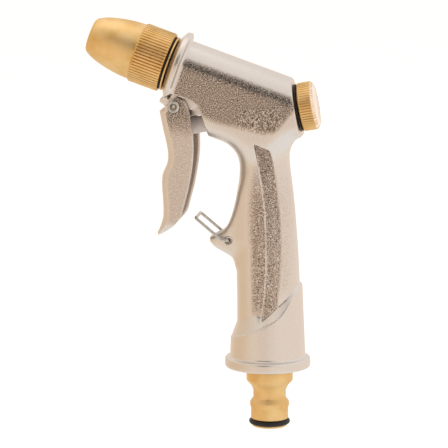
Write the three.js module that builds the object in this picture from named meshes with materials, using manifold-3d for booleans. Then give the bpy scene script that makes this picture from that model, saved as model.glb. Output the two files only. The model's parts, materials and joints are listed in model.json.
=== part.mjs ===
// Garden hose spray nozzle: pistol body, twist nozzle, trigger valve, flow knob and quick-connect tail.
// Millimetres, +Z up. The origin is the centre of the quick-connect tail's bottom end, +X points to the
// rear (flow knob), and the nozzle points to -X and up.
import * as THREE from "three";
import { mergeVertices } from "three/addons/utils/BufferGeometryUtils.js";
import { LoftGeometry } from "three/addons/geometries/LoftGeometry.js";
import Module from "manifold-3d";

const wasm = await Module();
wasm.setup();

// Driving dimensions
const GAP = 0.3; // clearance between pieces that touch
const ROUND = 28; // segments round a large turned piece
const ROUND_SMALL = 18; // segments round a small turned piece

const BARREL_FRONT = [-70.1, 0, 153.3]; // centre of the nozzle's front face
const BARREL_DROP = 19.5; // degrees that the barrel falls towards the rear
const BARREL_R = 11.4; // top radius and half width of the barrel
const BARREL_DEPTH = 20.4; // barrel axis to its underside
const FLANGE_R = 14.4; // front flange
const FLANGE_FACE = 33.4; // nozzle tip to the flange's front face, along the barrel
const BORE_R = 7.6; // threaded bore that takes the nozzle stem
const BORE_END = 56; // depth of that bore from the nozzle tip

const VALVE_END = [10.6, 0, 126]; // valve axis where it leaves the body
const VALVE_RISE = 10.5; // degrees that the valve axis rises towards the rear
const CHAMBER_R = 7.5; // inlet chamber behind the seat
const SEAT = -21.5; // valve seat, along the valve axis from the body's end
const SEAT_R = 3.6;
const GLAND_R = 4.5; // bore of the gland and the outlet chamber
const POCKET_BACK = -31.8; // rear wall of the pocket that the plunger runs in
const POCKET_W = 8.8; // pocket that the plunger runs in
const BONNET_R = 8.9; // threaded mouth of the inlet chamber
const BONNET_FRONT = -7.6;

const PIVOT = [-36.2, 0, 126.9]; // trigger pin
const PIN_R = 2;
const TONGUE_W = 14.6; // the body's tongue between the trigger cheeks
const TRIGGER_W = 21.7;
const TRIGGER_INNER_W = 16;

const BAIL_HOLE = [-15.5, 0, 74.5];
const BAIL_HOLE_R = 1;
const BAIL_WIRE_R = 0.6;
const BAIL_W = 14; // between the two legs' centres
const LUG_W = 12;

const TAIL_BORE_R = 4.8; // water way through the tail
const TAIL_THREAD_R = 8.3;
const BASE_Z = 24.3; // underside of the body
const TAIL_TOP = 33.5;
const HANDLE_BORE_R = 4.7;

// Materials
const metal = (color, roughness) => new THREE.MeshStandardMaterial({ color, roughness, metalness: 1 });
const plain = (color, roughness) => new THREE.MeshStandardMaterial({ color, roughness, metalness: 0 });
const NICKEL = 0xc9b8a6;
const BRASS = 0xd6ab6b;
const STEEL = 0xbfbdb8;
const RUBBER = 0x1a1614;
const GREY = 0x97908a;

// Turns a closed geometry into a solid for boolean work, optionally placed by a matrix
function solid(geometry, matrix) {
  const bare = geometry.index ? geometry.toNonIndexed() : geometry.clone();
  bare.deleteAttribute("normal");
  bare.deleteAttribute("uv");
  if (matrix) bare.applyMatrix4(matrix);
  const merged = mergeVertices(bare, 1e-4);
  const corners = merged.index.array;
  const kept = [];
  for (let i = 0; i < corners.length; i += 3) {
    const [a, b, c] = corners.slice(i, i + 3);
    if (a !== b && b !== c && c !== a) kept.push(a, b, c);
  }
  const vertProperties = new Float32Array(merged.attributes.position.array);
  return new wasm.Manifold(new wasm.Mesh({ numProp: 3, vertProperties, triVerts: new Uint32Array(kept) }));
}

// Turns a solid back into a geometry
function geometryOf(manifold) {
  const { vertProperties, triVerts, numProp } = manifold.getMesh();
  const position = new Float32Array((vertProperties.length / numProp) * 3);
  for (let v = 0; v < position.length / 3; v++) {
    for (let k = 0; k < 3; k++) position[v * 3 + k] = vertProperties[v * numProp + k];
  }
  const geometry = new THREE.BufferGeometry();
  geometry.setAttribute("position", new THREE.BufferAttribute(position, 3));
  geometry.setIndex([...triVerts]);
  return geometry;
}

// A turned piece about its own Z: profile is [radius, z] pairs up the outside, from the axis to the axis
function turned(profile, segments = ROUND) {
  const points = profile.map(([r, z]) => new THREE.Vector2(r, z));
  return new THREE.LatheGeometry(points, segments).rotateX(Math.PI / 2);
}

// A ring about its own Z with a rectangular section
function ring(inner, outer, from, to, segments = ROUND) {
  return turned([[inner, from], [outer, from], [outer, to], [inner, to], [inner, from]], segments);
}

// A plain cylinder about its own Z
function rod(radius, from, to, segments = ROUND_SMALL) {
  return turned([[0, from], [radius, from], [radius, to], [0, to]], segments);
}

// A round rubber ring about its own Z, lying at height z
function rubberRing(inner, outer, z, segments = ROUND_SMALL) {
  const r = (outer - inner) / 2;
  const sides = 6;
  const section = [];
  for (let i = 0; i <= sides; i++) {
    const angle = (i / sides) * Math.PI * 2 - Math.PI / 2;
    section.push([inner + r + r * Math.cos(angle), z + r * Math.sin(angle)]);
  }
  return turned(section, segments);
}

// A side outline of [x, z] pairs, extruded to a width that is centred on the mid plane
function plate(outline, width) {
  const shape = outline instanceof THREE.Shape
    ? outline
    : new THREE.Shape(outline.map(([x, z]) => new THREE.Vector2(x, z)));
  const geometry = new THREE.ExtrudeGeometry(shape, { depth: width, bevelEnabled: false, curveSegments: 8 });
  return geometry.rotateX(Math.PI / 2).translate(0, width / 2, 0);
}

// Points on one smooth curve through the given [x, z] pairs
function smooth(points, count) {
  const curve = new THREE.SplineCurve(points.map(([x, z]) => new THREE.Vector2(x, z)));
  return curve.getPoints(count).map((p) => [p.x, p.y]);
}

// Frames of the two tilted axes: their own +Z runs to the rear and their own +X points down
const barrel = new THREE.Group();
barrel.position.set(...BARREL_FRONT);
barrel.rotation.y = THREE.MathUtils.degToRad(90 + BARREL_DROP);
barrel.updateMatrix();
const valve = new THREE.Group();
valve.position.set(...VALVE_END);
valve.rotation.y = THREE.MathUtils.degToRad(90 - VALVE_RISE);
valve.updateMatrix();
const triggerGroup = new THREE.Group();
triggerGroup.position.set(...PIVOT);
const bailGroup = new THREE.Group();
bailGroup.position.set(...BAIL_HOLE);

const object = new THREE.Group();
object.add(barrel, valve, triggerGroup, bailGroup);

function add(group, name, geometry, material) {
  const mesh = new THREE.Mesh(geometry, material);
  mesh.name = name;
  group.add(mesh);
}

// ---------------------------------------------------------------- body
// Upright oval sections, one for each [z, front x, rear x, half width]
function ovalLoft(stations, segments) {
  const sections = stations.map(([z, front, rear, halfWidth]) => {
    const points = [];
    for (let i = 0; i < segments; i++) {
      const angle = (i / segments) * Math.PI * 2;
      const x = (front + rear) / 2 + ((rear - front) / 2) * Math.cos(angle);
      points.push(new THREE.Vector3(x, halfWidth * Math.sin(angle), z));
    }
    return points;
  });
  return new LoftGeometry(sections, { capStart: true, capEnd: true });
}

function bodySolid() {
  // Barrel section: round on top, flat sides, rounded underside (own +X points down)
  const section = new THREE.Shape();
  const corner = 6.5;
  section.absarc(0, 0, BARREL_R, Math.PI / 2, (Math.PI * 3) / 2, false);
  section.lineTo(BARREL_DEPTH - corner, -BARREL_R);
  section.absarc(BARREL_DEPTH - corner, -BARREL_R + corner, corner, -Math.PI / 2, 0, false);
  section.absarc(BARREL_DEPTH - corner, BARREL_R - corner, corner, 0, Math.PI / 2, false);
  section.closePath();
  const casing = new THREE.ExtrudeGeometry(section, { depth: 50, bevelEnabled: false, curveSegments: 8 });
  casing.translate(0, 0, 36.5);
  const flange = turned([
    [0, FLANGE_FACE], [10.5, FLANGE_FACE], [12.3, 34.0], [13.7, 34.8], [FLANGE_R, 36],
    [FLANGE_R, 37.0], [12.9, 37.9], [BARREL_R, 38.4], [0, 38.4],
  ]);
  // The barrel's side outline ends at the valve housing and the top of the handle
  const barrelSide = plate([
    [-60, 100], [-60, 175], [8.5, 175], [8.6, 137.2], [6.5, 118], [6.5, 106], [-10, 104],
  ], 40);
  // Below this edge the barrel is open for the trigger
  const triggerBay = plate([
    [-37.4, 131.9], [-33.2, 130.4], [-29.3, 129.2], [-27.1, 127.4], [-25.9, 125.1], [-25.1, 122.8],
    [-23.4, 117.5], [-22.6, 112], [-60, 100], [-60, 131], [-43, 129],
  ], 40);
  const [px, , pz] = PIVOT;
  const boss = [];
  for (let i = 0; i <= 10; i++) {
    const angle = Math.PI * (1.05 + 0.85 * (i / 10));
    boss.push([px + 3.4 * Math.cos(angle), pz + 3.4 * Math.sin(angle)]);
  }
  const tongue = plate([
    [-40.6, 130.6], [-42.2, 129.4], [-42.4, 128.3], [-41.6, 127.7], ...boss, [-31.4, 125.2],
    [-29.8, 125.2], [-28.6, 126], [-22, 126], [-22, 134], [-38, 136],
  ], TONGUE_W);
  // Web between the tongue's two sides, just above the plunger
  const web = plate([[-31, 126], [-31, 122.2], [-22, 123.8], [-22, 126]], POCKET_W + 0.4);
  const housing = rod(BARREL_R, -30, 0, ROUND);
  const handle = ovalLoft([
    [27, -13.1, 12.7, 10.8], [62, -13.1, 11.4, 10.6], [82, -12.9, 10.1, 10.5], [103, -11.7, 7.7, 10.7],
    [108, -12.2, 7.7, 10.7], [110.4, -13.2, 8.6, 10.3], [112.3, -14, 10, 9.4], [114, -14, 11.8, 8.6],
    [117, -14, 12, 8.6],
  ], 22);
  const lug = plate([
    [-10, 58], ...smooth([[-13.2, 62], [-15.3, 67.3], [-18.1, 69.2], [-21.4, 71.2], [-23.5, 73.4]], 8),
    ...smooth([[-23.4, 75], [-20.4, 76.4], [-17.3, 78.6], [-14.9, 82.3], [-13.2, 88]], 8), [-10, 92],
  ], LUG_W);
  const skirtOval = ovalLoft([[26, -15.4, 14, 14.9], [36, -15.4, 13.7, 14.7], [60, -15.4, 12.9, 13.2]], 24);
  const skirtSide = plate([
    [-20, 26], [-20, 36], ...smooth([[-14.8, 37.6], [-7.7, 39.4], [-1.9, 41.9], [4.7, 46.4], [9.8, 54.2],
      [12.4, 59]], 10), [16, 60], [16, 26],
  ], 40);
  const skirt = solid(skirtOval).intersect(solid(skirtSide));
  const base = turned([
    [0, BASE_Z], [15.9, BASE_Z], [16.7, BASE_Z + 0.7], [16.7, 27.5], [16.3, 27.9], [14.4, 28.5], [0, 28.5],
  ]).translate(-0.8, 0, 0);

  const casingCut = solid(casing, barrel.matrix)
    .intersect(solid(barrelSide))
    .subtract(solid(triggerBay));
  let body = casingCut
    .add(solid(flange, barrel.matrix))
    .add(solid(tongue))
    .add(solid(web))
    .add(solid(housing, valve.matrix))
    .add(solid(handle))
    .add(solid(lug))
    .add(skirt)
    .add(solid(base));

  // Bores along the barrel: gasket seat and stem thread
  const barrelBore = turned([
    [0, 30], [9.7, 30], [9.7, FLANGE_FACE + 1.3], [BORE_R, FLANGE_FACE + 1.3], [BORE_R, BORE_END - 3],
    [4, BORE_END], [0, BORE_END],
  ], ROUND_SMALL);
  // Bores along the valve axis: gland and outlet chamber, seat, inlet chamber, bonnet thread
  const valveBore = turned([
    [0, POCKET_BACK - 2], [GLAND_R, POCKET_BACK - 2], [GLAND_R, SEAT - 1.5], [SEAT_R, SEAT - 1.5],
    [SEAT_R, SEAT], [CHAMBER_R, SEAT], [CHAMBER_R, BONNET_FRONT], [BONNET_R, BONNET_FRONT],
    [BONNET_R, 3], [0, 3],
  ], ROUND_SMALL);
  // Open pocket that the plunger runs in, below the tongue
  const pocket = plate([
    [-34, 108], [-34, 124.6], [-31, 124.6], [-31, 122.2], [-21, 124], [-19.9, 116.9], [-18.6, 108],
  ], POCKET_W);
  const pinHole = new THREE.CylinderGeometry(PIN_R + 0.25, PIN_R + 0.25, 40, ROUND_SMALL).translate(...PIVOT);
  const bailHole = new THREE.CylinderGeometry(BAIL_HOLE_R, BAIL_HOLE_R, 40, ROUND_SMALL).translate(...BAIL_HOLE);
  const thread = rod(TAIL_THREAD_R + GAP, BASE_Z - 2, TAIL_TOP + 1.6, ROUND_SMALL);
  const handleBore = rod(HANDLE_BORE_R, TAIL_TOP, 121);
  // Way from the outlet chamber up to the barrel bore
  const port = rod(3.2, 0, 16, 12);
  const portFrame = new THREE.Matrix4().makeRotationY(THREE.MathUtils.degToRad(-24));
  portFrame.setPosition(-13.2, 0, 121.6);
  body = body
    .subtract(solid(barrelBore, barrel.matrix))
    .subtract(solid(valveBore, valve.matrix))
    .subtract(solid(pocket))
    .subtract(solid(pinHole))
    .subtract(solid(bailHole))
    .subtract(solid(thread))
    .subtract(solid(handleBore))
    .subtract(solid(port, portFrame));
  return body;
}
add(object, "body", geometryOf(bodySolid()), metal(NICKEL, 0.4));

// ---------------------------------------------------------------- nozzle, along the barrel
// Sleeve: bullet front with the orifice, seal bore, thread bore, knurled collar
const sleeve = [
  [2.6, 0], [5.85, 0], [7.2, 1.3], [8.6, 4.2], [9.6, 7.6], [10.5, 12], [11.0, 16], [11.1, 18.8],
  [11.1, 19.1], [11.75, 19.8], [11.75, 30.9], [11.3, 31.4], [8.2, 31.4], [8.2, 18.6], [6.9, 18],
  [6.9, 7], [2.6, 2.6], [2.6, 0],
];
add(barrel, "nozzle_sleeve", turned(sleeve), metal(BRASS, 0.35));
add(barrel, "collar_ring", ring(8.3, 10.9, 31.7, 32.2), plain(RUBBER, 0.8));

// Stem: pintle, cross holes, seal groove, sleeve thread, shoulder, body thread
const stem = turned([
  [0, 0.8], [1.2, 0.8], [2.3, 2.0], [2.3, 3.2], [5.2, 8], [5.2, 10.6], [6.6, 11], [6.6, 11.3], [5.0, 11.3],
  [5.0, 13.3], [6.6, 13.3], [6.6, 18], [7.9, 19], [7.9, 31.4], [8, 32.5], [10.3, 32.5], [10.3, 33.1],
  [BORE_R - GAP, 33.1], [BORE_R - GAP, 44], [3.6, 44], [3.6, 8.6], [0, 7.4],
]);
const crossHole = new THREE.CylinderGeometry(1.3, 1.3, 16, 12).translate(0, 0, 9.6);
const crossHoleTurned = crossHole.clone().rotateZ(Math.PI / 2);
const stemSolid = solid(stem).subtract(solid(crossHole)).subtract(solid(crossHoleTurned));
add(barrel, "nozzle_stem", geometryOf(stemSolid), metal(BRASS, 0.4));
add(barrel, "nozzle_o_ring", rubberRing(5.25, 6.65, 12.3), plain(RUBBER, 0.7));
add(barrel, "stem_gasket", ring(7.7, 9.4, 33.45, 34.4), plain(RUBBER, 0.8));

// ---------------------------------------------------------------- valve, along the valve axis
const ROD_R = 1.6;
const plunger = turned([
  [0, -49], [1.3, -48.8], [2.4, -48.3], [3.1, -47.2], [3.3, -46], [3.3, -34.6], [ROD_R + GAP, -34.6],
  [ROD_R + GAP, -44.4], [0, -44.4],
], ROUND_SMALL);
add(valve, "plunger_cap", plunger, plain(GREY, 0.45));
add(valve, "valve_rod", rod(ROD_R, -44.1, -13.6, 16), metal(STEEL, 0.3));
add(valve, "gland_nut", ring(ROD_R + GAP, GLAND_R - GAP, -31.5, -28, ROUND_SMALL), metal(BRASS, 0.4));
add(valve, "rod_o_ring", rubberRing(ROD_R + 0.25, GLAND_R - 0.25, -26.35), plain(RUBBER, 0.7));
add(valve, "valve_washer", ring(ROD_R + GAP, 5.4, SEAT + GAP, SEAT + 2.3, ROUND_SMALL), plain(RUBBER, 0.8));
add(valve, "valve_poppet", ring(ROD_R + GAP, 6.2, SEAT + 2.6, SEAT + 5.1, ROUND_SMALL), metal(BRASS, 0.4));
add(valve, "poppet_nut", ring(ROD_R + GAP, 3.1, SEAT + 5.4, SEAT + 7.4, 6), metal(STEEL, 0.35));

// Return spring between the poppet and the bonnet
const SPRING_R = 4.9;
const SPRING_WIRE_R = 0.4;
const springFrom = SEAT + 5.1 + GAP + SPRING_WIRE_R;
const springTo = BONNET_FRONT - SPRING_WIRE_R;
class Helix extends THREE.Curve {
  getPoint(t, target = new THREE.Vector3()) {
    const angle = t * Math.PI * 2 * 4.5;
    return target.set(SPRING_R * Math.cos(angle), SPRING_R * Math.sin(angle),
      springFrom + (springTo - springFrom) * t);
  }
}
const wire = (radius) => new THREE.Shape().absarc(0, 0, radius, 0, Math.PI * 2, false);
const spring = new THREE.ExtrudeGeometry(wire(SPRING_WIRE_R),
  { steps: 54, extrudePath: new Helix(), curveSegments: 3, bevelEnabled: false });
add(valve, "return_spring", spring, metal(STEEL, 0.3));

// Rear bonnet, its seal, and the flow knob with its spindle
const SPINDLE_R = 3;
add(valve, "rear_bonnet", turned([
  [SPINDLE_R + GAP, BONNET_FRONT + GAP], [BONNET_R - GAP, BONNET_FRONT + GAP], [BONNET_R - GAP, -GAP],
  [4.8, -GAP], [4.8, 0.85], [SPINDLE_R + GAP, 0.85], [SPINDLE_R + GAP, BONNET_FRONT + GAP],
]), metal(BRASS, 0.4));
add(valve, "bonnet_seal", ring(5.1, 9.1, 0.3, 0.85), plain(RUBBER, 0.8));
add(valve, "flow_knob", turned([
  [0, -10.9], [2.2, -10.9], [2.6, -10.4], [2.6, -6.4], [SPINDLE_R, -6.1], [SPINDLE_R, -4.6], [1.9, -4.6],
  [1.9, -3.2], [SPINDLE_R, -3.2], [SPINDLE_R, 1.15], [8.9, 1.15], [9.4, 1.7], [9.4, 6.3], [8.3, 7.5], [0, 7.5],
]), metal(BRASS, 0.35));
add(valve, "spindle_o_ring", rubberRing(2.1, 3.15, -3.9), plain(RUBBER, 0.7));

// ---------------------------------------------------------------- trigger, about its pin
// Side outlines, as offsets from the pin
const triggerFront = smooth([
  [-6.1, -2], [-4.6, -9.4], [-3.5, -14.1], [-2.8, -18.5], [-3.1, -22.2], [-4.9, -26.6], [-5.2, -31],
  [-4.8, -37], [-4.7, -42.7], [-5.5, -46],
], 26);
// Inner face of the front wall: thicker at the top, where it meets the plunger
const channelFront = smooth([
  [-3.5, -2], [-1.9, -9.4], [-0.8, -14.1], [0, -18.5], [-0.3, -22.2], [-2.4, -26.6], [-2.9, -31],
  [-2.8, -37], [-2.9, -42.7], [-3.7, -46],
], 26);
const triggerRear = smooth([
  [-0.4, -46.8], [2.2, -43.6], [3.6, -39], [5.3, -32.5], [6.9, -23.5], [7.4, -16], [6.9, -8.5], [6.1, -3.2],
  [4.6, 1.2], [2.6, 3.1], [0.6, 3.4], [-1.6, 2.2], [-3.9, -0.2],
], 30);
const triggerOutline = [
  ...triggerFront, [-6.4, -48.3], [-7, -49.4], [-6.4, -50.6], [-5.4, -50.2], [-3.1, -48.9], ...triggerRear,
];
const channel = [[-8, 8], [-8, -1.5], [-3.6, -1.8], ...channelFront.slice(1), [20, -46.2], [20, 8]];
const pinHoles = new THREE.CylinderGeometry(PIN_R + GAP, PIN_R + GAP, 40, ROUND_SMALL);
const triggerSolid = solid(plate(triggerOutline, TRIGGER_W))
  .subtract(solid(plate(channel, TRIGGER_INNER_W)))
  .subtract(solid(pinHoles));
add(triggerGroup, "trigger", geometryOf(triggerSolid), metal(NICKEL, 0.4));

// Trigger pin: a semi-tubular rivet, its head and its rolled end outside the cheeks
const pinEnd = TRIGGER_W / 2 + GAP;
add(triggerGroup, "trigger_pin", turned([
  [0, -pinEnd + 0.4], [1.1, -pinEnd + 0.4], [1.1, -pinEnd - 0.7], [2.1, -pinEnd - 0.7], [2.45, -pinEnd - 0.4],
  [2.45, -pinEnd], [PIN_R, -pinEnd], [PIN_R, pinEnd], [2.45, pinEnd], [2.45, pinEnd + 0.4],
  [2.1, pinEnd + 0.7], [1.1, pinEnd + 0.7], [1.1, pinEnd - 0.4], [0, pinEnd - 0.4],
], ROUND_SMALL).rotateX(Math.PI / 2), metal(STEEL, 0.25));

// ---------------------------------------------------------------- lock bail, about its hole
const leg = BAIL_W / 2;
const bailPath = new THREE.CatmullRomCurve3([
  [0, -leg + 3.2, 0], [0, -leg + 1, 0], [-0.6, -leg, 0.1], [-2.6, -leg, 0.4], [-4, -leg, 1.4],
  [-11.6, -leg, 7.7], [-12.6, -leg + 0.9, 8.6], [-12.7, -leg + 2, 8.7],
  [-12.7, leg - 2, 8.7], [-12.6, leg - 0.9, 8.6], [-11.6, leg, 7.7],
  [-4, leg, 1.4], [-2.6, leg, 0.4], [-0.6, leg, 0.1], [0, leg - 1, 0], [0, leg - 3.2, 0],
].map((p) => new THREE.Vector3(...p)), false, "centripetal");
const bail = new THREE.ExtrudeGeometry(wire(BAIL_WIRE_R),
  { steps: 44, extrudePath: bailPath, curveSegments: 3, bevelEnabled: false });
add(bailGroup, "lock_bail", bail, metal(STEEL, 0.25));

// ---------------------------------------------------------------- quick-connect tail
add(object, "hose_connector", turned([
  [TAIL_BORE_R, 0], [6.6, 0], [6.9, 0.3], [6.9, 0.8], [5.9, 0.8], [5.9, 2.9], [7.0, 2.9], [7.3, 3.2],
  [7.3, 7.4], [7.65, 8.2], [7.65, 9.7], [7.2, 10.5], [6.4, 11.4], [6.4, 14.6], [7.4, 16.6], [8.9, 18.2],
  [9.1, 18.8], [9.1, BASE_Z - GAP], [TAIL_THREAD_R, BASE_Z - GAP], [TAIL_THREAD_R, TAIL_TOP],
  [TAIL_BORE_R, TAIL_TOP], [TAIL_BORE_R, 0],
]), metal(BRASS, 0.35));
add(object, "connector_o_ring", rubberRing(6.15, 8.05, 1.85, ROUND), plain(RUBBER, 0.6));
add(object, "connector_gasket", ring(HANDLE_BORE_R + 0.3, 8.3, TAIL_TOP + GAP, TAIL_TOP + 1.3, ROUND_SMALL),
  plain(RUBBER, 0.8));

export default object;
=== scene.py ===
# Garden hose spray nozzle: nickel-plated pistol body with brass nozzle, flow knob and quick-connect tail.
import json
import math

import bmesh
import bpy
import numpy as np
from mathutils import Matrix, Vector


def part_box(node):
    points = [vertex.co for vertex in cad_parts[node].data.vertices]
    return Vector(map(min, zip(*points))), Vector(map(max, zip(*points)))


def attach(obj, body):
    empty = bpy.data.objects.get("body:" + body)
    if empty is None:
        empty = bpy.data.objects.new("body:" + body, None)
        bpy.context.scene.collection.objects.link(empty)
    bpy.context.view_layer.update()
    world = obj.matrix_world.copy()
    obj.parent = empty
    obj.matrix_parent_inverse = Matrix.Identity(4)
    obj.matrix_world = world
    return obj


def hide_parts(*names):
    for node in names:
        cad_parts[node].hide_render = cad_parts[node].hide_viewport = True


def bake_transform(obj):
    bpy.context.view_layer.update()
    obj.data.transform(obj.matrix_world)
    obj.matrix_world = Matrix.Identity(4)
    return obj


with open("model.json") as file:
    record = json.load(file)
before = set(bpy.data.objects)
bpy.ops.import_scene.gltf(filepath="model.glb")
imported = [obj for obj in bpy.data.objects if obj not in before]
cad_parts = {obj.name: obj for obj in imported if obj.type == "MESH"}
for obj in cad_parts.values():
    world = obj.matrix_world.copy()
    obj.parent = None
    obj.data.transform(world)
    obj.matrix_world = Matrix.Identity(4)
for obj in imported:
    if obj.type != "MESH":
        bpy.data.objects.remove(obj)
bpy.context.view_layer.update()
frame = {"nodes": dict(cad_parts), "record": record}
MM = 0.001
joints = {joint["name"]: joint for joint in frame["record"]["behaviour"]["joints"]}


# ---- camera: a long lens, slightly above the object and to the knob's side of it
camera = bpy.data.objects.new("camera", bpy.data.cameras.new("camera"))
bpy.context.collection.objects.link(camera)
camera.data.lens = 226.65
camera.data.sensor_width = 36
camera.data.clip_end = 20
camera.location = (0.123535, -1.075633, 0.261422)
CAMERA_AIM = Vector((-0.018075, 0, 0.079870))
camera.rotation_euler = (CAMERA_AIM - camera.location).to_track_quat("-Z", "Y").to_euler()
bpy.context.scene.camera = camera
bpy.context.scene.view_settings.view_transform = "Standard"


# ---- light: a white tent all round the object, with a round dark opening on the camera's side, which
# the metal reflects as dark streaks. The tent's walls are tinted a little by height and by side.
def add_node(tree, kind, links=None, **settings):
    """One node: links sets or joins its sockets by name or number, settings are the node's own."""
    node = tree.nodes.new(kind)
    for name, value in settings.items():
        setattr(node, name, value)
    for socket, value in (links or {}).items():
        if isinstance(value, bpy.types.NodeSocket):
            tree.links.new(value, node.inputs[socket])
        else:
            node.inputs[socket].default_value = value
    return node


def colour(code):
    """An sRGB hex value as linear RGBA."""
    parts = [int(code[i:i + 2], 16) / 255 for i in (1, 3, 5)]
    return [c / 12.92 if c <= 0.04045 else ((c + 0.055) / 1.055) ** 2.4 for c in parts] + [1]


def ramp(tree, value, *stops):
    """A colour ramp over value, with (place, colour) stops."""
    node = add_node(tree, "ShaderNodeValToRGB", {"Fac": value})
    while len(node.color_ramp.elements) < len(stops):
        node.color_ramp.elements.new(0.5)
    for element, (place, tint) in zip(node.color_ramp.elements, stops):
        element.position = place
        element.color = tint if isinstance(tint, list) else colour(tint)
    return node.outputs["Color"]


world = bpy.data.worlds.new("tent")
bpy.context.scene.world = world
world.use_nodes = True
tent = world.node_tree
tent.nodes.clear()
direction = add_node(tent, "ShaderNodeTexCoord").outputs["Generated"]
OPENING = Vector((-0.05, -0.87, 0.48)).normalized()
OPENING_DARK, OPENING_EDGE = math.radians(15), math.radians(22)
TENT_STRENGTH = 1.08
toward_opening = add_node(
    tent, "ShaderNodeVectorMath", {0: direction, 1: tuple(OPENING)}, operation="DOT_PRODUCT"
).outputs["Value"]
in_opening = add_node(
    tent, "ShaderNodeMapRange",
    {"Value": toward_opening, "From Min": math.cos(OPENING_EDGE), "From Max": math.cos(OPENING_DARK)},
    interpolation_type="SMOOTHSTEP",
).outputs["Result"]
towards = add_node(tent, "ShaderNodeSeparateXYZ", {0: direction}).outputs
height, sideways = (
    add_node(tent, "ShaderNodeMapRange", {"Value": towards[axis], "From Min": -1, "From Max": 1}).outputs["Result"]
    for axis in "ZX"
)
walls_light = ramp(tent, height, (0.15, "#ffffff"), (0.38, "#faeee2"), (0.5, "#f8ede3"), (0.68, "#f4f2f1"))
wall_tint = ramp(tent, sideways, (0.02, "#efe0cb"), (0.2, "#fcf7f0"), (0.44, "#f6f0eb"), (0.7, "#ffffff"))
tent_light = add_node(
    tent, "ShaderNodeMix", {"Factor": 1.0, 6: walls_light, 7: wall_tint}, data_type="RGBA", blend_type="MULTIPLY"
).outputs[2]
tent_light = add_node(
    tent, "ShaderNodeMix", {"Factor": in_opening, 6: tent_light, 7: colour("#0c0a09")}, data_type="RGBA"
).outputs[2]
seen = add_node(tent, "ShaderNodeLightPath").outputs["Is Camera Ray"]
shown = add_node(
    tent, "ShaderNodeMix", {"Factor": seen, 6: tent_light, 7: (1, 1, 1, 1)}, data_type="RGBA"
).outputs[2]
background = add_node(tent, "ShaderNodeBackground", {"Color": shown, "Strength": TENT_STRENGTH})
add_node(tent, "ShaderNodeOutputWorld", {"Surface": background.outputs["Background"]})


LAMP_AIM = Vector((-0.02, 0, 0.08))


def softbox(name, place, size, power):
    """A soft square lamp at place, in metres, that faces the middle of the object."""
    lamp = bpy.data.lights.new(name, "AREA")
    lamp.shape = "SQUARE"
    lamp.size = size
    lamp.energy = power
    holder = bpy.data.objects.new(name, lamp)
    bpy.context.collection.objects.link(holder)
    holder.location = place
    holder.rotation_euler = (LAMP_AIM - holder.location).to_track_quat("-Z", "Y").to_euler()
    holder.visible_camera = False


softbox("top_lamp", (-0.2, 0.1, 0.9), 0.6, 0.6)

floor_mesh = bpy.data.meshes.new("floor")
FLOOR_HALF = 6.0
FLOOR_DROP = 0.03
corners = [(x * FLOOR_HALF, y * FLOOR_HALF, -FLOOR_DROP) for x, y in ((-1, -1), (1, -1), (1, 1), (-1, 1))]
floor_mesh.from_pydata(corners, [], [(0, 1, 2, 3)])
floor_stage = bpy.data.objects.new("floor", floor_mesh)
bpy.context.collection.objects.link(floor_stage)
paper = bpy.data.materials.new("white_backdrop_paper")
paper.use_nodes = True
paper_shader = paper.node_tree.nodes["Principled BSDF"]
paper_shader.inputs["Base Color"].default_value = colour("#f6f6f6")
paper_shader.inputs["Roughness"].default_value = 0.9
paper_shader.inputs["Emission Color"].default_value = (1, 1, 1, 1)
paper_shader.inputs["Emission Strength"].default_value = 0.25
floor_mesh.materials.append(paper)
floor_stage.visible_glossy = False


# ---- body: one zinc die casting with barrel, front flange, trigger tongue, handle, bail lug, skirt and
# base flange, plated in pearl nickel. Its surface is worked out as a distance, in millimetres, so that
# the walls run into each other with the casting's fillets.
TIP = np.array(joints["nozzle_twist"]["pos_m"]) / MM
NOSE_X, _, NOSE_Z = joints["nozzle_twist"]["axis"]
VALVE = np.array(joints["flow_knob_turn"]["pos_m"]) / MM
BACK_X, _, BACK_Z = joints["flow_knob_turn"]["axis"]
PIVOT = np.array(joints["trigger_pivot"]["pos_m"]) / MM
BAIL_HOLE = np.array(joints["bail_swing"]["pos_m"]) / MM

BARREL_R = 11.4  # the head's round top, and half its width
BARREL_DEPTH = 20.4  # from the barrel's axis down to the head's underside
HOUSING_R = 10.9  # the valve's housing, from the valve axis to the side outline
HOUSING_FRONT = -22
HEAD_CORNER = 6.5
HEAD_FILLET = 9
UNDER_REAR = 0.819, -0.573  # the way that the head's lower rear corner is cut off
FLANGE_R = 14.4
FLANGE_FACE, FLANGE_BACK = 33.4, 37.6
FLANGE_GROOVE = 36.4
CONE_R = 10.4
HANDLE_POWER, SKIRT_POWER = 2.35, 2.1  # 2 is an ellipse, more is squarer
HANDLE_TOP = 122
SKIRT_FOOT = 28
SKIRT_HALF, SKIRT_REACH = 14.6, 14.75  # across and along at the foot; both draw in upwards
HANDLE_FILLET = 6.5
TONGUE_HALF = 7.3
WEB_HALF = 3.4
POCKET_HALF = 4.4
LUG_HALF = 6.2
BASE_X = -0.8
BASE_R = 16.7
BASE_LOW, BASE_HIGH = 23.9, 28.1
PANEL_DEPTH = 0.5
EDGE = 0.3  # the small round on a machined or moulded edge

# bores, as radius and how far they reach
NOSE_SEAT_R, NOSE_R, NOSE_END = 9.7, 7.6, 54
NOSE_SEAT_DEPTH = 1.3
BONNET_R, BONNET_DEPTH = 8.9, 7.6
CHAMBER_R, CHAMBER_DEPTH = 7.5, 21.5
SEAT_R, SEAT_DEPTH = 3.6, 23
GLAND_R, GLAND_DEPTH = 4.5, 33.8
PIN_R, BAIL_HOLE_R = 2.25, 1.4
TAIL_THREAD_R, TAIL_THREAD_TOP = 8.6, 35.1
WATERWAY_R, WATERWAY_TOP = 4.7, 121
PORT_R, PORT_LENGTH = 3.2, 16
PORT_X, PORT_Z = -13.2, 121.6
PORT_LEAN = math.radians(24)


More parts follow.
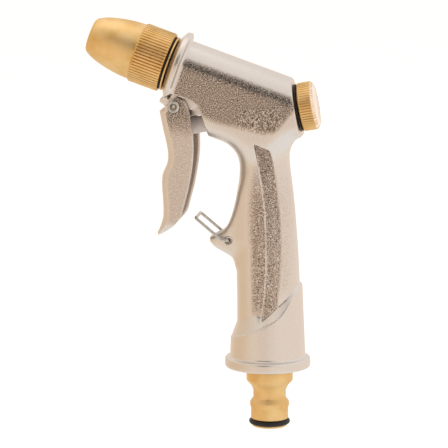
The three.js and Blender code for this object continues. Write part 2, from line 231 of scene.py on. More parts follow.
def soft_min(a, b, reach):
    """The smaller of two distances, joined with a fillet."""
    share = np.clip(0.5 + 0.5 * (b - a) / reach, 0, 1)
    return b + (a - b) * share - reach * share * (1 - share)


def soft_max(a, b, reach):
    """The larger of two distances, with the edge between them rounded."""
    return -soft_min(-a, -b, reach)


def rise(value, start, over):
    """0 up to start, then climbing to 1 over the given reach."""
    return np.clip((value - start) / over, 0, 1)


def through(points, steps=8):
    """Points along one smooth curve through the given ones."""
    p = np.array([points[0], *points, points[-1]], float)
    t = np.linspace(0, 1, steps, endpoint=False)[:, None]
    runs = [
        0.5 * (2 * b + (c - a) * t + (2 * a - 5 * b + 4 * c - d) * t**2 + (3 * b - a - 3 * c + d) * t**3)
        for a, b, c, d in zip(p, p[1:], p[2:], p[3:])
    ]
    return np.vstack([*runs, p[-1:]])


def along_curve(value, points):
    """The second number of a smooth curve at each value of the first."""
    curve = through(points)
    return np.interp(value, curve[:, 0], curve[:, 1])


def outline(x, z, corners):
    """Distance to a closed side outline, negative inside it."""
    nearest = np.full(np.broadcast(x, z).shape, 1e9)
    side = np.ones(nearest.shape)
    for (ax, az), (bx, bz) in zip(corners, np.roll(corners, -1, axis=0)):
        ex, ez = bx - ax, bz - az
        wx, wz = x - ax, z - az
        share = np.clip((wx * ex + wz * ez) / (ex * ex + ez * ez), 0, 1)
        nearest = np.minimum(nearest, (wx - ex * share) ** 2 + (wz - ez * share) ** 2)
        above, below, left = z >= az, z < bz, ex * wz > ez * wx
        crossed = (above & below & left) | ~(above | below | left)
        side = np.where(crossed, -side, side)
    return side * np.sqrt(nearest)


def oval(x, y, reach, half, power):
    """Roughly the distance to an upright oval column, reach along x and half across."""
    return (((np.abs(x) / reach) ** power + (y / half) ** power) ** (1 / power) - 1) * half


def barrel_axes(x, y, z):
    """Place along the barrel from the nozzle's tip, depth below its axis, and distance from it."""
    dx, dz = x - TIP[0], z - TIP[2]
    along = -(dx * NOSE_X + dz * NOSE_Z)
    down = dx * -NOSE_Z + dz * NOSE_X
    return along, down, np.hypot(down, y)


def valve_axes(x, y, z):
    """Place along the valve axis from the body's rear face, and distance from it."""
    dx, dz = x - VALVE[0], z - VALVE[2]
    return dx * BACK_X + dz * BACK_Z, np.hypot(dx * BACK_Z - dz * BACK_X, y)


HANDLE_FRONT = [(20, -12.8), (50, -12.7), (66, -13.0), (82, -12.9), (92, -12.4), (103, -11.7), (130, -11.6)]
HANDLE_REAR = [(20, 12.9), (62, 11.4), (80, 10.2), (92, 9.1), (103, 7.7), (112, 7.2), (130, 7.0)]
HANDLE_HALF = [(20, 10.9), (62, 10.7), (80, 10.4), (96, 9.9), (106, 9.2), (114, 8.8), (130, 8.6)]
SKIRT_LINE = [(-20, 35.6), (-15.5, 36.0), (-7.7, 38.8), (-1.9, 41.4), (4.7, 45.6), (7.5, 48.7), (9.8, 52.7),
              (13, 57.4), (20, 69)]
BEVEL_LINE = [(-20, 41.6), (-13.1, 42.0), (-8, 44.2), (-4, 45.6), (-1.4, 45.0), (2, 47.3), (5.1, 49.9),
              (9.7, 55.3), (13, 60.3), (20, 74)]
WEB = [(-31, 126.2), (-31, 122.2), (-22, 123.8), (-22, 126.2)]
TRIGGER_BAY = [(-37.4, 131.9), (-33.2, 130.4), (-29.3, 129.2), (-27.1, 127.4), (-25.9, 125.1), (-25.1, 122.8),
               (-23.6, 117.8), (-22.9, 112), (-60, 100), (-60, 131), (-43, 129)]
TONGUE = [(-40.6, 130.6), (-42.0, 129.6), (-42.4, 128.4), (-41.6, 127.7), (-39.6, 126.4), (-39.0, 125),
          (-37.4, 123.8), (-35.4, 123.6), (-33.6, 124.6), (-32.9, 125.6), (-31.4, 125.2), (-29.8, 125.2),
          (-28.6, 126), (-22, 126), (-22, 134), (-38, 136)]
POCKET = [(-34, 108), (-34, 124.6), (-31, 124.6), (-31, 122.2), (-21, 124), (-19.9, 116.9), (-18.6, 108)]
GRAIN_END = [(-60, 138), (-26.8, 124.4), (-19.8, 121.4), (-10.1, 119.3), (-3.1, 117.6), (2, 117.7), (5.9, 120.9),
             (10, 125.8), (20, 135)]
LUG = [(-8, 60), *through([(-12.4, 64.2), (-13.9, 67.0), (-16.2, 68.6), (-18.6, 69.8), (-21.4, 71.3),
                           (-23.3, 73.2)]),
       *through([(-23.5, 74.9), (-21.6, 76.1), (-18.4, 77.7), (-15.9, 80.3), (-14.0, 83.6), (-12.2, 87.5),
                 (-10, 93)]),
       (-7, 98)]
PANEL = [*through([(-5.1, 113), (-3.9, 106), (-2.3, 97), (-1.0, 87), (-0.4, 76), (-0.4, 64), (-0.9, 54),
                   (-1.9, 44.5)]),
         (-1.8, 43.6), (3.9, 48.9),
         *through([(4.1, 50.3), (4.6, 58), (5.2, 66), (5.2, 78.6), (4.4, 89.5), (2.6, 102.4), (1.2, 109.0)]),
         (0.6, 110.4)]


def body_distance(x, y, z):
    """Distance to the body's surface in millimetres, negative inside it."""
    y = np.abs(y)
    along, down, rho = barrel_axes(x, y, z)
    back, out = valve_axes(x, y, z)
    # barrel and valve housing: one side outline with flat sides, a rounded underside and a round top
    casing = np.abs(down - (BARREL_DEPTH - BARREL_R) / 2) - (BARREL_DEPTH + BARREL_R) / 2
    under_rear = (x - VALVE[0] - 0.5) * UNDER_REAR[0] + (z - VALVE[2]) * UNDER_REAR[1]
    casing = soft_max(casing, under_rear, HEAD_FILLET)
    off_valve = np.abs((x - VALVE[0]) * BACK_Z - (z - VALVE[2]) * BACK_X)
    housing = soft_max(off_valve - HOUSING_R, HOUSING_FRONT - back, HEAD_FILLET)
    over_side_view = soft_min(casing, housing, HEAD_FILLET) + HEAD_CORNER
    over_side = y - BARREL_R + HEAD_CORNER
    head = (np.minimum(np.maximum(over_side_view, over_side), 0)
            + np.hypot(np.maximum(over_side_view, 0), np.maximum(over_side, 0)) - HEAD_CORNER)
    head = soft_max(head, FLANGE_FACE + 2.5 - along, 0.2)
    head = soft_max(head, back, 0.5)
    head = soft_max(head, np.where(down < 0, rho - BARREL_R, y - BARREL_R), EDGE)
    head = soft_max(head, -outline(x, z, TRIGGER_BAY), 0.45)
    # handle and skirt: ovals whose faces are flatter than an ellipse's
    front = along_curve(z, HANDLE_FRONT)
    rear = along_curve(z, HANDLE_REAR)
    half = along_curve(z, HANDLE_HALF)
    handle = oval(x - (front + rear) / 2, y, (rear - front) / 2, half, HANDLE_POWER)
    handle = soft_max(handle, z - HANDLE_TOP, 1)
    up_skirt = z - SKIRT_FOOT
    skirt = oval(x - BASE_X, y, SKIRT_REACH - 0.045 * up_skirt, SKIRT_HALF - 0.035 * up_skirt, SKIRT_POWER)
    top, low = along_curve(x, BEVEL_LINE), along_curve(x, SKIRT_LINE)
    # the bevel climbs most of the way from handle to skirt, and a small step at its foot does the rest
    bevel = 0.84 + 0.1 * np.clip((x - 3) / 4, 0, 1)
    onto_skirt = bevel * rise(-z, -top, np.maximum(top - low, 0.7)) + (1 - bevel) * rise(-z, -low, 0.3)
    grip = handle * (1 - onto_skirt) + skirt * onto_skirt
    panel = np.maximum(outline(x, z, PANEL), -(handle + PANEL_DEPTH))
    lug = soft_max(outline(x, z, LUG), y - np.clip(LUG_HALF + (x + 16) * 0.22, 4.4, LUG_HALF), 3.2)
    grip = soft_min(grip, lug, np.clip(2.5 + (z - 70) * 0.5, 2.5, 5))
    grip = soft_max(grip, BASE_LOW + EDGE - z, EDGE)
    whole = soft_min(head, grip, HANDLE_FILLET)
    # the fillet may not push the head's flat side out; lower down, where the skirt is wide, nothing is cut
    whole = soft_max(whole, y - BARREL_R - np.clip((100 - z) * 0.3, 0, 6), 0.6)
    whole = soft_max(whole, -panel, EDGE)
    # flanges and tongue
    cone = (rho - CONE_R - (along - FLANGE_FACE) * 1.7) * 0.5
    flange = soft_max(soft_max(rho - FLANGE_R, FLANGE_FACE - along, 0.4), along - FLANGE_BACK, 1.4)
    flange = soft_max(flange, cone, 1.2)
    flange = soft_max(flange, 0.5 - np.hypot(rho - FLANGE_R - 0.1, along - FLANGE_GROOVE), EDGE)
    whole = soft_min(whole, flange, 1.0)
    tongue = soft_max(outline(x, z, TONGUE), y - TONGUE_HALF, 0.8)
    whole = soft_min(whole, tongue, 0.5)
    whole = np.minimum(whole, np.maximum(outline(x, z, WEB), y - WEB_HALF))
    rim = np.hypot(x - BASE_X, y) - BASE_R
    top_of_base = (z - BASE_HIGH) + (rim + 1.6) * 0.25
    base = soft_max(soft_max(rim, BASE_LOW - z, 1.0), top_of_base, 0.8)
    whole = soft_min(whole, base, 0.7)
    # bores and holes
    barrel_bore = rho - np.where(along < FLANGE_FACE + NOSE_SEAT_DEPTH, NOSE_SEAT_R, NOSE_R)
    barrel_bore = np.maximum(barrel_bore, along - NOSE_END)
    bore_r = np.where(back < -SEAT_DEPTH, GLAND_R, np.where(back < -CHAMBER_DEPTH, SEAT_R, CHAMBER_R))
    bore_r = np.where(back > -BONNET_DEPTH, BONNET_R, bore_r)
    valve_bore = np.maximum(out - bore_r, -GLAND_DEPTH - back)
    pocket = np.maximum(outline(x, z, POCKET), y - POCKET_HALF)
    pin_hole = np.hypot(x - PIVOT[0], z - PIVOT[2]) - PIN_R
    bail_hole = np.hypot(x - BAIL_HOLE[0], z - BAIL_HOLE[2]) - BAIL_HOLE_R
    tail_thread = np.maximum(np.hypot(x, y) - TAIL_THREAD_R, z - TAIL_THREAD_TOP)
    handle_bore = np.maximum(np.hypot(x, y) - WATERWAY_R, z - WATERWAY_TOP)
    sine, cosine = math.sin(PORT_LEAN), math.cos(PORT_LEAN)
    port_up = -(x - PORT_X) * sine + (z - PORT_Z) * cosine
    port_out = np.hypot((x - PORT_X) * cosine + (z - PORT_Z) * sine, y)
    port = np.maximum(port_out - PORT_R, np.abs(port_up - PORT_LENGTH / 2) - PORT_LENGTH / 2)
    for hole in (barrel_bore, valve_bore, pocket, pin_hole, bail_hole, tail_thread, handle_bore, port):
        whole = soft_max(whole, -hole, EDGE)
    return whole


def skin(name, distance, grain_and_painted_shade, low, high, step):
    """A closed mesh on the zero level of a distance that is the same on both sides of the mid plane. Every
    point also carries how coarse the plate is there, which also sets how much painted shade and painted glitter its
    colour takes."""
    xs = np.arange(low[0], high[0] + step, step)
    ys = np.arange(0, high[1] + step, step)
    zs = np.arange(low[2], high[2] + step, step)
    half = distance(xs[:, None, None], ys[None, :, None], zs[None, None, :])
    field = np.concatenate([half[:, :0:-1], half], axis=1)
    ys = np.concatenate([-ys[:0:-1], ys])
    inside = field < 0
    cells = [n - 1 for n in field.shape]
    total = np.zeros([*cells, 3])
    count = np.zeros(cells)
    crossings = []
    for axis in range(3):
        near = [slice(None)] * 3
        far = [slice(None)] * 3
        near[axis] = slice(0, -1)
        far[axis] = slice(1, None)
        a, b = field[tuple(near)], field[tuple(far)]
        changes = np.argwhere(inside[tuple(near)] != inside[tuple(far)])
        fa, fb = a[tuple(changes.T)], b[tuple(changes.T)]
        place = changes.astype(float)
        place[:, axis] += fa / (fa - fb)
        others = [k for k in range(3) if k != axis]
        around = []
        for step_a, step_b in ((0, 0), (1, 0), (1, 1), (0, 1)):
            cell = changes.copy()
            cell[:, others[0]] -= step_a
            cell[:, others[1]] -= step_b
            np.add.at(total, tuple(cell.T), place)
            np.add.at(count, tuple(cell.T), 1)
            around.append(cell)
        crossings.append((axis, fa < 0, around))
    used = np.argwhere(count > 0)
    number = np.full(cells, -1)
    number[tuple(used.T)] = np.arange(len(used))
    points = total[tuple(used.T)] / count[tuple(used.T)][:, None] * step
    points += [xs[0], ys[0], zs[0]]
    quads = []
    for axis, starts_inside, around in crossings:
        ring = np.stack([number[tuple(cell.T)] for cell in around], axis=1)
        flip = starts_inside if axis == 1 else ~starts_inside
        ring[flip] = ring[flip][:, ::-1]
        quads.append(ring)
    # slide the points along the slope, on to the surface
    nudge = 0.02
    for _ in range(3):
        x, y, z = points.T
        here = distance(x, y, z)
        slope = np.stack([
            distance(x + nudge, y, z) - distance(x - nudge, y, z),
            distance(x, y + nudge, z) - distance(x, y - nudge, z),
            distance(x, y, z + nudge) - distance(x, y, z - nudge),
        ], axis=1) / (2 * nudge)
        size = np.maximum((slope**2).sum(axis=1), 0.2)
        move = np.clip(here / size, -0.3 * step, 0.3 * step)[:, None] * slope
        points -= move
    mesh = bpy.data.meshes.new(name)
    mesh.from_pydata(points * MM, [], np.vstack(quads))
    mesh.shade_smooth()
    facing = np.abs(slope[:, 1]) / np.sqrt(size)
    x, y, z = points.T
    # how coarse the grain is, and with it the painted shade and painted glitter in the plate's colour
    amount = mesh.attributes.new("grain_and_painted_shade", "FLOAT", "POINT")
    amount.data.foreach_set("value", grain_and_painted_shade(x, z, facing).astype(np.float32))
    return mesh


def body_grain_and_painted_shade(x, z, facing):
    """How coarse the plate's grain is, and with it how much painted shade and painted glitter its colour
    takes: full in the panel and on the head's flat side, less on the handle's side, and none where the
    casting was rubbed smooth on its rounded parts."""
    along, down, _ = barrel_axes(x, 0 * x, z)
    head = rise(facing, 0.84, 0.08) * rise(z - along_curve(x, GRAIN_END), -1.1, 2.2) * rise(down, -8, 3)
    head *= (along > FLANGE_BACK + 1.6) & (outline(x, z, TRIGGER_BAY) > 0.5)
    below_head = rise(-z, -106, 16)
    soft_zone = 0.8 * rise(facing, 0.93, 0.05) * below_head * rise(z, 44, 6) * rise(x, -9, 4) * (x < 3)
    rear_fade = 0.14 * rise(-x, -11, 4) * (x > 3) * below_head * rise(z, 52, 6)
    panel = rise(-outline(x, z, PANEL), 0, 0.25) * rise(facing, 0.6, 0.2) * (0.7 + 0.25 * rise(z, 62, 30))
    return np.maximum.reduce([head, soft_zone, rear_fade, panel])


def piece(name, mesh, material, body, slot, *nodes):
    """A finished piece that rides on its body and stands for its CAD nodes."""
    made = bpy.data.objects.new(name, mesh)
    bpy.context.collection.objects.link(made)
    mesh.materials.clear()
    mesh.materials.append(material)
    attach(made, body)
    if nodes:
        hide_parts(*nodes)
    return made


def surface(name, tint, roughness, metallic=1):
    """A new material, ready for its own pattern; the tint stands in for the pattern's average colour."""
    made = bpy.data.materials.new(name)
    made.use_nodes = True
    shader = made.node_tree.nodes["Principled BSDF"]
    shader.inputs["Base Color"].default_value = colour(tint)
    shader.inputs["Metallic"].default_value = metallic
    shader.inputs["Roughness"].default_value = roughness
    return made, made.node_tree, shader


def noise(tree, grain, detail, roughness=0.5):
    """A noise through the object whose grains are so many millimetres wide."""
    place = add_node(tree, "ShaderNodeTexCoord").outputs["Object"]
    return add_node(tree, "ShaderNodeTexNoise", {"Vector": place, "Scale": 1 / (grain * MM), "Detail": detail,
                                                 "Roughness": roughness}).outputs["Fac"]


def drive(tree, shader, socket, value, low, high):
    """Lets a value from 0 to 1 move one of the shader's numbers between low and high."""
    span = add_node(tree, "ShaderNodeMapRange", {"Value": value, "To Min": low, "To Max": high})
    tree.links.new(span.outputs["Result"], shader.inputs[socket])


def bump(tree, shader, height, strength, depth):
    """Dents the surface with a height, so many millimetres deep."""
    dents = add_node(tree, "ShaderNodeBump", {"Height": height, "Strength": strength, "Distance": depth * MM})
    tree.links.new(dents.outputs["Normal"], shader.inputs["Normal"])


# Pearl nickel: satin plate over a blasted casting. The blasting leaves pits about 0.4 mm wide, which glitter light
# and dark on the flats;
# this glitter is painted into the base colour as painted highlights and painted shade, which also paint the flats
# darker overall. The grain fades out where the casting was rubbed smooth before plating.
nickel, tree, shader = surface("pearl_nickel_plate", "#d9cdc2", 0.34)
PITS = 0.4
PLAIN_TONE = 0.66
amount = add_node(tree, "ShaderNodeAttribute", attribute_name="grain_and_painted_shade").outputs["Fac"]
grain = noise(tree, PITS, 1.5, 0.6)
centred = add_node(tree, "ShaderNodeMath", {0: grain, 1: PLAIN_TONE}, operation="SUBTRACT").outputs[0]
swing = add_node(tree, "ShaderNodeMath", {0: amount, 1: 0.52, 2: 0.03}, operation="MULTIPLY_ADD").outputs[0]
tone = add_node(tree, "ShaderNodeMath", {0: centred, 1: swing, 2: PLAIN_TONE}, operation="MULTIPLY_ADD").outputs[0]
# The tint paints the glitter. Near-white specks are painted highlights; near-black specks and the darker average on
# coarse flats are painted shade.
tint = ramp(tree, tone, (0.46, "#33291f"), (0.56, "#95867a"), (0.62, "#c4b6aa"), (PLAIN_TONE, "#e3dcd5"),
            (0.8, "#fff9f2"))
tree.links.new(tint, shader.inputs["Base Color"])
drive(tree, shader, "Roughness", amount, 0.33, 0.29)
depth = add_node(tree, "ShaderNodeMapRange", {"Value": amount, "To Min": 0.08, "To Max": 0.6}).outputs["Result"]
bump(tree, shader, grain, depth, 0.15)

low, high = (np.array(corner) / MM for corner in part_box("body"))
body_mesh = skin("body", body_distance, body_grain_and_painted_shade, low - 1, high + 1, 0.42)
piece("body_casting", body_mesh, nickel, "housing", "nickel_plate", "body")


# ---- trigger: a U-shaped die casting in the same plate. Two cheeks take the body's tongue between them,
# its front wall is the finger grip, and the rear edges of the cheeks are cut thin.
TRIGGER_HALF = 10.85
TRIGGER_INNER_HALF = 8.0
GRIP = through([(-6.1, -2), (-4.6, -9.4), (-3.5, -14.1), (-2.8, -18.5), (-3.1, -22.2), (-4.9, -26.6), (-5.2, -31),
                (-4.8, -37), (-4.7, -42.7), (-5.5, -46)], 4)
GRIP_INSIDE = through([(-3.5, -2), (-1.9, -9.4), (-0.8, -14.1), (0, -18.5), (-0.3, -22.2), (-2.4, -26.6),
                       (-2.9, -31), (-2.8, -37), (-2.9, -42.7), (-3.7, -46)], 4)
CHEEK = through([(-0.4, -46.8), (2.2, -43.6), (3.6, -39), (5.3, -32.5), (6.9, -23.5), (7.4, -16), (6.9, -8.5),
                 (6.1, -3.2), (4.6, 1.2), (2.6, 3.1), (0.6, 3.4), (-1.6, 2.2), (-3.9, -0.2)], 4)
TRIGGER_SIDE = [*GRIP, (-6.4, -48.3), (-7, -49.4), (-6.9, -50.2), (-6.4, -50.6), (-5.4, -50.2), (-3.1, -48.9),
                *CHEEK]
CHANNEL = [(-8, 8), (-8, -1.5), (-3.6, -1.8), *GRIP_INSIDE[4:], (20, -46.2), (20, 8)]


def trigger_distance(x, y, z):
    x, y, z = x - PIVOT[0], np.abs(y), z - PIVOT[2]
    side = outline(x, z, TRIGGER_SIDE)
    front = np.interp(z, GRIP[::-1, 1], GRIP[::-1, 0])
    # the front corners are well rounded, the rear edges hardly at all
    rounding = np.clip(4.4 - 1.1 * np.maximum(x - front - 2.4, 0), 0.35, 4.4)
    whole = soft_max(side, y - TRIGGER_HALF, rounding)
    channel = soft_max(outline(x, z, CHANNEL), y - TRIGGER_INNER_HALF, 0.8)
    whole = soft_max(whole, -channel, 0.3)
    return soft_max(whole, PIN_R + 0.05 - np.hypot(x, z), 0.2)


def trigger_grain_and_painted_shade(x, z, facing):
    """The grain and its painted shade and painted glitter are full round the pin and fade down the cheeks,
    so the cheeks are painted lighter lower down.
    """
    return rise(facing, 0.93, 0.05) * np.clip(1 + (z - PIVOT[2] + 5) / 9, 0.22, 1.1)


low, high = (np.array(corner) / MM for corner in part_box("trigger"))
trigger_mesh = skin("trigger", trigger_distance, trigger_grain_and_painted_shade, low - 1, high + 1, 0.36)
piece("trigger_lever", trigger_mesh, nickel, "trigger", "nickel_plate", "trigger")


# ---- nozzle sleeve: turned from brass bar, a bullet front with the spray hole, and a straight-knurled
# collar behind it for the fingers
SMOOTH_UNDER = math.radians(28)


def turned(name, profile, axis_from, axis, sides=96, wave=None):
    """A turned solid: profile is [radius, place along the axis], and wave(radius, place, angle) shapes
    the radius where it is knurled. A profile that ends where it starts has a bore."""
    points = np.array(profile, float)
    closed = np.allclose(points[0], points[-1])
    if closed:
        points = points[:-1]
    angles = np.linspace(0, 2 * math.pi, sides, endpoint=False)
    radius = np.repeat(points[:, :1], sides, axis=1)
    place = np.repeat(points[:, 1:], sides, axis=1)
    if wave:
        radius = wave(radius, place, angles[None, :])
    axis = Vector(axis).normalized()
    across = axis.cross(Vector((0, 1, 0)) if abs(axis.y) < 0.9 else Vector((1, 0, 0))).normalized()
    up = axis.cross(across)
    around = (np.cos(angles)[:, None] * np.array(across) + np.sin(angles)[:, None] * np.array(up))[None]
    spots = (np.array(axis_from) / MM + radius[:, :, None] * around + place[:, :, None] * np.array(axis)) * MM
    rows = len(points)
    faces = []
    for row in range(rows if closed else rows - 1):
        after = (row + 1) % rows
        for k in range(sides):
            m = (k + 1) % sides
            faces.append((row * sides + k, row * sides + m, after * sides + m, after * sides + k))
    if not closed:
        faces.append(tuple(range(sides - 1, -1, -1)))
        faces.append(tuple((rows - 1) * sides + k for k in range(sides)))
    mesh = bpy.data.meshes.new(name)
    mesh.from_pydata(spots.reshape(-1, 3).tolist(), [], faces)
    mesh.validate()
    work = bmesh.new()
    work.from_mesh(mesh)
    bmesh.ops.recalc_face_normals(work, faces=work.faces)
    for edge in work.edges:
        edge.smooth = edge.calc_face_angle(0) < SMOOTH_UNDER
    for face in work.faces:
        face.smooth = True
    work.to_mesh(mesh)
    work.free()
    return mesh


def eased(profile, cut=0.12):
    """A profile with every sharp corner turned down a little, in two steps. Bends under 30 degrees stay."""
    points = [np.array(p, float) for p in profile]
    out = [points[0]]
    for before, here, after in zip(points, points[1:], points[2:]):
        a, b = before - here, after - here
        la, lb = np.hypot(*a), np.hypot(*b)
        bend = math.acos(np.clip(np.dot(a, b) / (la * lb), -1, 1))
        if bend < math.radians(150):
            reach = min(cut, la / 3, lb / 3)
            out += [here + a / la * reach, here + (a / la + b / lb) * reach * 0.3, here + b / lb * reach]
        else:
            out.append(here)
    return out + [points[-1]]


SLEEVE_GROOVES = 60
SLEEVE_GROOVE_DEPTH = 0.5
back_along_barrel = [-a for a in joints["nozzle_twist"]["axis"]]
nozzle_tip = joints["nozzle_twist"]["pos_m"]
BULLET = through([(5.85, 0), (6.6, 0.45), (7.3, 1.4), (8.6, 4.2), (9.6, 7.6), (10.5, 12), (11.0, 16),
                  (11.1, 18.6)], 5)
sleeve_profile = [
    *eased([(2.6, 0.5), (2.9, 0), (5.85, 0)]), *BULLET[1:], (11.1, 19.0), (11.12, 19.12), (11.6, 19.6),
    (11.75, 19.85), *[(11.75, s) for s in np.linspace(20.1, 30.8, 8)], (11.75, 31.1), (11.65, 31.4), (11.4, 31.6),
    (8.2, 31.6), (8.2, 18.6), (6.9, 18), (6.9, 7), (2.6, 2.6), (2.6, 0.5),
]


def groove(angle, count):
    """0 on the flat crest of a knurl, 1 at the bottom of its V groove."""
    phase = np.abs((angle * count / (2 * math.pi)) % 1 - 0.5) * 2
    return np.clip((phase - 0.5) / 0.4, 0, 1)


def collar_knurl(radius, place, angle):
    on_collar = (place > 19.5) & (place < 31.5) & (radius > 11.2)
    return radius - SLEEVE_GROOVE_DEPTH * groove(angle, SLEEVE_GROOVES) * on_collar


# Brass: turned and left bare, satin from the tool, deep yellow where it doesn't face the light.
brass, tree, shader = surface("turned_brass", "#e8c078", 0.45)
tarnish = noise(tree, 6, 3)
tree.links.new(ramp(tree, tarnish, (0.3, "#e2ba77"), (0.7, "#f2d097")), shader.inputs["Base Color"])
drive(tree, shader, "Roughness", tarnish, 0.41, 0.49)
bump(tree, shader, noise(tree, 0.4, 2), 0.25, 0.03)

# The knurl's grooves are painted a darker brown brass: painted shade in the grooves.
groove_shade_brass, tree, shader = surface("painted_groove_shade_brass", "#cda56c", 0.5)
tree.links.new(ramp(tree, noise(tree, 2, 2), (0.3, "#c0975f"), (0.7, "#dab37a")), shader.inputs["Base Color"])


def add_finish(mesh, material, here):
    """A second finish on the faces that the test picks, by middle in mm and normal."""
    mesh.materials.append(material)
    for face in mesh.polygons:
        if here(np.array(face.center) / MM, np.array(face.normal)):
            face.material_index = len(mesh.materials) - 1


def off_axis(place, start, axis):
    """How far a place is along an axis and away from it."""
    ray = place - np.array(start) / MM
    along = ray @ np.array(axis)
    return along, np.sqrt(max(ray @ ray - along * along, 0))


def in_collar_groove(middle, normal):
    along, out = off_axis(middle, nozzle_tip, back_along_barrel)
    return 20.3 < along < 30.8 and 11.0 < out < 11.4


sleeve_mesh = turned("nozzle_sleeve", sleeve_profile, nozzle_tip, back_along_barrel, 720, collar_knurl)
piece("nozzle_sleeve_knurled", sleeve_mesh, brass, "nozzle_sleeve", "brass", "nozzle_sleeve")
# The collar's knurl grooves take the darker brass, painted shade.
add_finish(sleeve_mesh, groove_shade_brass, in_collar_groove)


# ---- nozzle stem: the brass core that the sleeve screws along. Its pointed pintle shows in the spray
# hole, and its thin shoulder shows as a ring against the body's flange.
stem_profile = eased([
    (0.02, 0.75), (1.2, 0.8), (2.3, 2.0), (2.3, 3.2), (5.2, 8), (5.2, 10.6), (6.6, 11), (6.6, 11.3), (5.0, 11.3),
    (5.0, 13.3), (6.6, 13.3), (6.6, 18), (7.9, 19), (7.9, 31.4), (8, 32.5), (10.8, 32.5), (10.8, 33.1), (7.3, 33.1),
    (7.3, 44), (3.6, 44), (3.6, 8.6), (0.02, 7.4), (0.02, 0.75),
], 0.1)
stem_mesh = turned("nozzle_stem", stem_profile, nozzle_tip, back_along_barrel, 128)
piece("nozzle_stem_turned", stem_mesh, brass, "housing", "brass", "nozzle_stem")


# ---- seals that show: black nitrile rubber, moulded, dull and a little dusty. The O-rings are round in
# section, the collar ring and the bonnet's seal are flat washers.
rubber, tree, shader = surface("nitrile_rubber", "#0e0c0b", 0.55, 0)
dust = noise(tree, 1.5, 4)
tree.links.new(ramp(tree, dust, (0.35, "#080706"), (0.75, "#141110")), shader.inputs["Base Color"])
bump(tree, shader, dust, 0.3, 0.05)


def o_ring_profile(inner, outer, at, steps=20):
    r = (outer - inner) / 2
    turns = [2 * math.pi * k / steps for k in range(steps)]
    section = [(inner + r - r * math.cos(t), at + r * math.sin(t)) for t in turns]
    return section + [section[0]]


collar_profile = eased([(8.3, 31.95), (8.3, 31.7), (10.6, 31.7), (10.6, 32.2), (8.3, 32.2), (8.3, 31.95)], 0.15)
collar_mesh = turned("collar_ring", collar_profile, nozzle_tip, back_along_barrel, 128)
piece("collar_ring_rubber", collar_mesh, rubber, "collar_ring", "rubber", "collar_ring")
connector_ring_mesh = turned("connector_o_ring", o_ring_profile(6.15, 8.05, 1.85), (0, 0, 0), (0, 0, 1), 128)
piece("connector_o_ring_round", connector_ring_mesh, rubber, "housing", "rubber", "connector_o_ring")
knob_base = joints["flow_knob_turn"]["pos_m"]
back_along_valve = joints["flow_knob_turn"]["axis"]
seal_profile = eased([(5.1, 0.55), (5.1, 0.3), (9.1, 0.3), (9.1, 0.85), (5.1, 0.85), (5.1, 0.55)], 0.15)
seal_mesh = turned("bonnet_seal", seal_profile, knob_base, back_along_valve, 128)
piece("bonnet_seal_rubber", seal_mesh, rubber, "housing", "rubber", "bonnet_seal")
for name in ("nozzle_o_ring", "stem_gasket", "rod_o_ring", "valve_washer", "spindle_o_ring", "connector_gasket"):
    inner_seal = frame["nodes"][name]
    inner_seal.data.materials.clear()
    inner_seal.data.materials.append(rubber)


# ---- flow knob: turned brass with a fine straight knurl, a wide chamfer and a faced, buffed end. Its
# spindle runs in the bonnet and stops the valve's travel.
KNOB_KNURLS = 56
KNOB_KNURL_DEPTH = 0.26
knob_profile = eased([
    (0.02, -10.9), (2.2, -10.9), (2.6, -10.4), (2.6, -6.4), (3, -6.1), (3, -4.6), (1.9, -4.6), (1.9, -3.2),
    (3, -3.2), (3, 1.15), (8.9, 1.15), (9.4, 1.65), *[(9.4, s) for s in np.linspace(2.1, 5.9, 6)], (9.4, 6.3),
    (8.3, 7.5), (0.02, 7.5),
])


def knob_knurl(radius, place, angle):
    on_rim = (place > 1.6) & (place < 6.5) & (radius > 9.0)
    return radius - KNOB_KNURL_DEPTH * groove(angle, KNOB_KNURLS) * on_rim


knob_mesh = turned("flow_knob", knob_profile, knob_base, back_along_valve, 672, knob_knurl)
piece("flow_knob_knurled", knob_mesh, brass, "flow_knob", "brass", "flow_knob")


def on_knob_face(middle, normal):
    along, _ = off_axis(middle, knob_base, back_along_valve)
    return along > 6.9 and normal @ np.array(back_along_valve) > 0.5


def in_knob_groove(middle, normal):
    along, out = off_axis(middle, knob_base, back_along_valve)
    return 2 < along < 6 and 8.8 < out < 9.22


# The end face is buffed after facing; its reflection of the white light is painted into a nearly white base colour,
# a painted highlight.
white_highlight_brass, tree, shader = surface("painted_highlight_brass_face", "#fff0e2", 0.2)
tree.links.new(ramp(tree, noise(tree, 3, 3), (0.3, "#fdeadb"), (0.7, "#fff8f2")), shader.inputs["Base Color"])
# The knob's end face takes the nearly white brass, a painted highlight.
add_finish(knob_mesh, white_highlight_brass, on_knob_face)
# The knob's knurl grooves take the same darker brass, painted shade.
add_finish(knob_mesh, groove_shade_brass, in_knob_groove)


# ---- hose connector: the click-on tail, turned brass with a groove for the O-ring, a catch ring, a neck
# and a shoulder, screwed up into the body's base.
connector_profile = eased([
    (4.8, 2), (4.8, 0.2), (5.0, 0), (6.6, 0), (6.9, 0.3), (6.9, 0.8), (5.9, 0.8), (5.9, 2.9), (7.0, 2.9),
    (7.3, 3.2), (7.3, 7.4), (7.65, 8.2), (7.65, 9.7), (7.2, 10.5), (6.4, 11.4), (6.4, 14.6), (7.4, 16.6),
    (8.9, 18.2), (9.1, 18.8), (9.1, 24.0), (8.3, 24.0), (8.3, 33.5), (4.8, 33.5), (4.8, 2),
], 0.2)
connector_mesh = turned("hose_connector", connector_profile, (0, 0, 0), (0, 0, 1), 160)
piece("hose_connector_turned", connector_mesh, brass, "housing", "brass", "hose_connector")


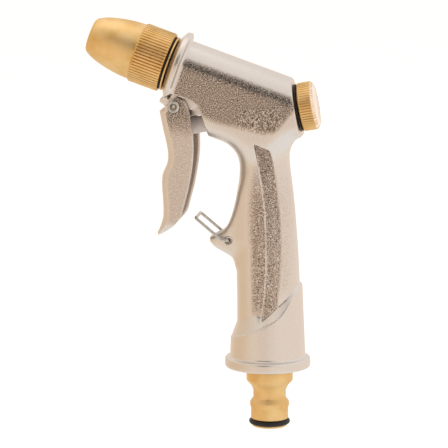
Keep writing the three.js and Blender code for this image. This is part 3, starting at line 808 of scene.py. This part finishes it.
# ---- trigger pin: a steel rivet, with a turned rim round a hollow end on each cheek
steel, tree, shader = surface("drawn_stainless_steel", "#c0bcb5", 0.2)
draw = noise(tree, 0.8, 3)
tree.links.new(ramp(tree, draw, (0.3, "#aca8a1"), (0.7, "#d2cec8")), shader.inputs["Base Color"])
drive(tree, shader, "Roughness", draw, 0.15, 0.3)
half_pin = [(0.02, 10.2), (0.6, 10.25), (1.1, 10.8), (1.2, 11.5), (1.4, 11.8), (1.9, 11.85), (2.3, 11.65),
            (2.45, 11.4), (2.42, 11.15), (2.0, 11.15)]
pin_profile = [(r, -s) for r, s in half_pin] + half_pin[::-1]
pin_mesh = turned("trigger_pin", pin_profile, joints["trigger_pivot"]["pos_m"], (0, 1, 0), 64)
piece("trigger_pin_rivet", pin_mesh, steel, "housing", "stainless", "trigger_pin")

# ---- lock bail: one bent stainless wire whose two ends spring into the body's lug. It swings up over the
# trigger's tip to hold the valve open.
WIRE_R = 0.6
bail_bends = [(0, -3.8, 0), (0, -6, 0), (-0.6, -7, 0.1), (-2.6, -7, 0.4), (-4, -7, 1.4), (-11.6, -7, 7.7),
              (-12.6, -6.1, 8.6), (-12.7, -5, 8.7)]
bail_bends = through(bail_bends + [(x, -y, z) for x, y, z in bail_bends[::-1]], 10)
bail_line = bpy.data.curves.new("lock_bail", "CURVE")
bail_line.dimensions = "3D"
bail_line.bevel_depth = WIRE_R * MM
bail_line.bevel_resolution = 6
bail_line.use_fill_caps = True
bail_line.resolution_u = 8
wire = bail_line.splines.new("POLY")
wire.points.add(len(bail_bends) - 1)
for point, bend in zip(wire.points, bail_bends):
    point.co = (*((BAIL_HOLE + bend) * MM), 1)
bent = bpy.data.objects.new("bent_wire", bail_line)
bpy.context.collection.objects.link(bent)
bpy.context.view_layer.update()
bail_mesh = bpy.data.meshes.new_from_object(bent.evaluated_get(bpy.context.evaluated_depsgraph_get()))
bpy.data.objects.remove(bent)
bail_mesh.shade_smooth()
piece("lock_bail_wire", bail_mesh, steel, "lock_bail", "stainless", "lock_bail")


# ---- plunger cap: grey acetal, moulded, with a domed end that the trigger's front wall pushes
acetal, tree, shader = surface("grey_acetal", "#ece2dc", 0.42, 0)
mould = noise(tree, 2, 3)
tree.links.new(ramp(tree, mould, (0.3, "#e6dad3"), (0.7, "#f3eae4")), shader.inputs["Base Color"])
bump(tree, shader, mould, 0.2, 0.05)
cap_profile = [(0.02, -49), (0.7, -48.95), (1.3, -48.8), (1.9, -48.55), (2.4, -48.2), (2.8, -47.7), (3.1, -47.1),
               (3.25, -46.5), (3.3, -46), (3.3, -34.8), (3.15, -34.6), (1.9, -34.6), (1.9, -44.4), (0.02, -44.4),
               (0.02, -49)]
cap_mesh = turned("plunger_cap", cap_profile, knob_base, back_along_valve, 64)
piece("plunger_cap_moulded", cap_mesh, acetal, "plunger", "grey_plastic", "plunger_cap")


# ---- inner works: rod, nut and spring in steel, gland, poppet and bonnet in brass. The spring is held
# between the poppet, which moves, and the bonnet.
for name, finish in (("valve_rod", steel), ("poppet_nut", steel), ("gland_nut", brass), ("valve_poppet", brass),
                     ("rear_bonnet", brass)):
    part = frame["nodes"][name]
    part.data.materials.clear()
    part.data.materials.append(finish)
spring_node = frame["nodes"]["return_spring"]
spring_mesh = spring_node.data.copy()
spring_mesh.transform(spring_node.matrix_world)
spring_mesh.materials.clear()
spring_mesh.materials.append(steel)
spring = bpy.data.objects.new("return_spring_coil", spring_mesh)
bpy.context.collection.objects.link(spring)
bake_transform(spring)
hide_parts("return_spring")
